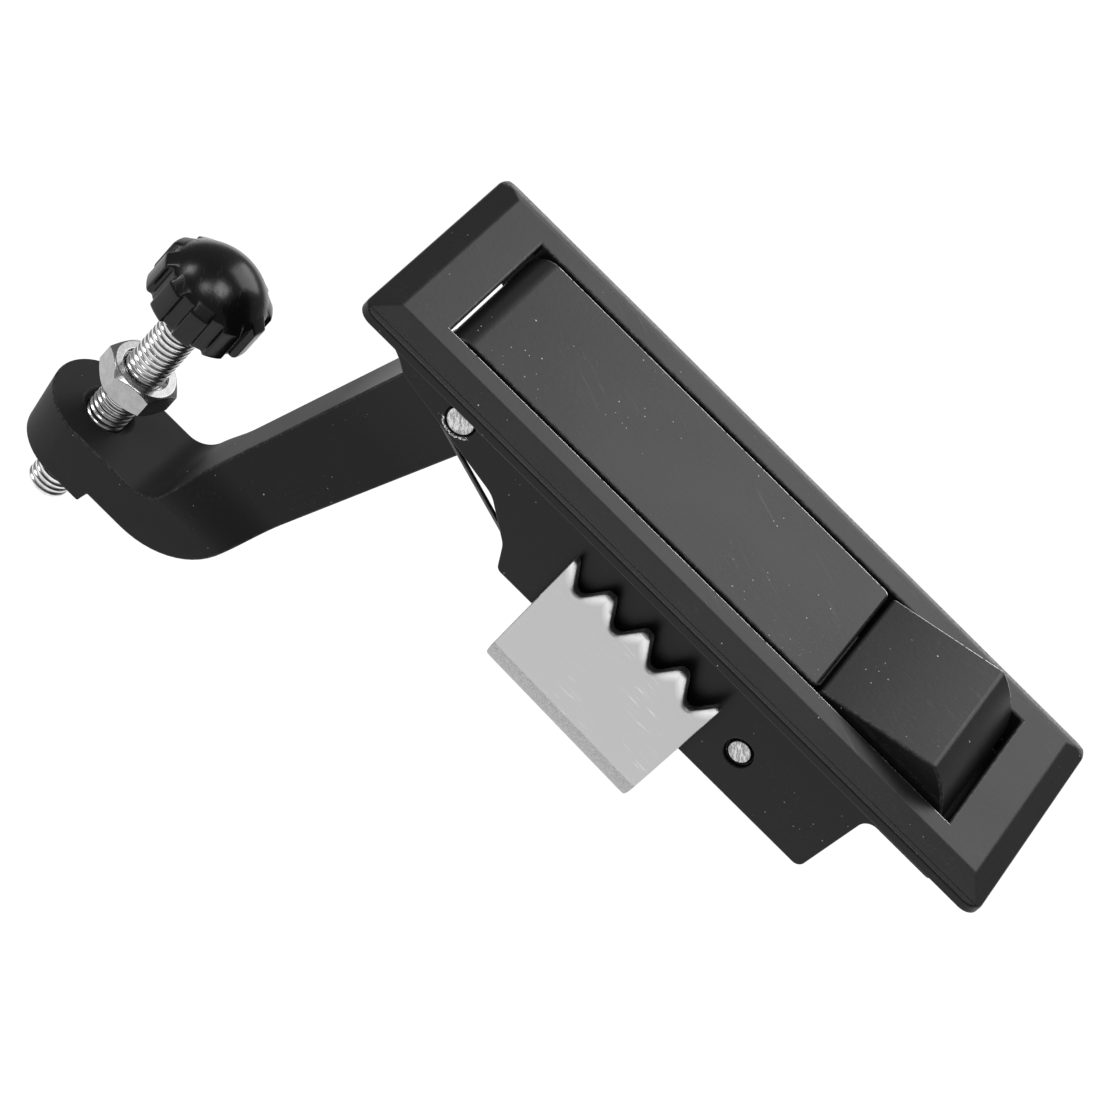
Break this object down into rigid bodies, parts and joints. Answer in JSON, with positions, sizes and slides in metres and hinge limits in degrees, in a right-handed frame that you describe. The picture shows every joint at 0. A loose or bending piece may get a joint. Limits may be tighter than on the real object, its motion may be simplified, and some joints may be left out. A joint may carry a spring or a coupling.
{
  "type": "flush lever latch",
  "caption": "Flush panel latch: push-button release, sprung lever plate, toothed clamp bracket and an arm with a screw-adjusted bumper.",
  "frame": {"origin": "centre of the flange's back face, the face that lies on the panel", "axes": "+X along the flange towards the release button, +Y across it, +Z out of the panel's front"},
  "size_m": [0.1756, 0.0572, 0.1058],
  "materials": {
    "coated_casting": "black powder coat, semi-matt, fine orange peel",
    "coated_casting_lever": "black powder coat, semi-matt, fine orange peel",
    "coated_casting_button": "black powder coat, semi-matt, fine orange peel",
    "pin_steel": "bright steel pin end",
    "spring_steel": "drawn spring wire",
    "plated_sheet": "zinc-plated sheet, scuffed",
    "plated_screw": "zinc-plated thread",
    "plated_nut": "zinc-plated nut",
    "knob_plastic": "black glossy moulding",
    "insert_metal": "turned brass bush"
  },
  "bodies": {
    "housing": {"housing": "coated_casting", "lever_pin": "pin_steel", "button_pin": "pin_steel", "lever_spring": "spring_steel", "button_spring": "spring_steel"},
    "lever": {"lever": "coated_casting_lever"},
    "release_button": {"release_button": "coated_casting_button"},
    "clamp_bracket": {"clamp_bracket": "plated_sheet", "bracket_washer": "plated_screw"},
    "bracket_screw": {"bracket_screw": "plated_screw"},
    "bumper_screw": {"bumper_screw": "plated_screw"},
    "bumper_knob": {"bumper_knob": "knob_plastic", "knob_insert": "insert_metal"},
    "jam_nut": {"jam_nut": "plated_nut"}
  },
  "joints": [
    {"name": "lever_open", "type": "hinge", "parent": "housing", "child": "lever", "pos_m": [-0.0463, 0, -0.0067], "axis": [0, -1, 0], "range_deg": [0, 50], "deforming": ["lever_spring"]},
    {"name": "button_press", "type": "hinge", "parent": "housing", "child": "release_button", "pos_m": [0.0258, 0, -0.0151], "axis": [0, 1, 0], "range_deg": [0, 8], "stiffness_Nm_per_rad": 0.8, "springref_deg": -14.32, "deforming": ["button_spring"]},
    {"name": "bracket_travel", "type": "slide", "parent": "housing", "child": "clamp_bracket", "axis": [0, 0, 1], "range_m": [-0.0015, 0.007]},
    {"name": "bracket_screw_turn", "type": "hinge", "parent": "clamp_bracket", "child": "bracket_screw", "pos_m": [0.0017, 0, -0.0392], "axis": [0, 0, 1], "range_deg": [-541, 2521]},
    {"name": "bumper_travel", "type": "slide", "parent": "lever", "child": "bumper_screw", "axis": [0, 0, 1], "range_m": [-0.00625, 0.00875]},
    {"name": "knob_turn", "type": "hinge", "parent": "bumper_screw", "child": "bumper_knob", "pos_m": [-0.093, 0, -0.04], "axis": [0, 0, 1], "range_deg": [-1801, 2521]},
    {"name": "nut_travel", "type": "slide", "parent": "lever", "child": "jam_nut", "axis": [0, 0, 1], "range_m": [-0.0065, 0.01]}
  ],
  "couplings": [
    {"joint": "knob_turn", "follows": "bumper_travel", "rad_per_m": 5026.5},
    {"joint": "bracket_screw_turn", "follows": "bracket_travel", "rad_per_m": 6283.2}
  ]
}
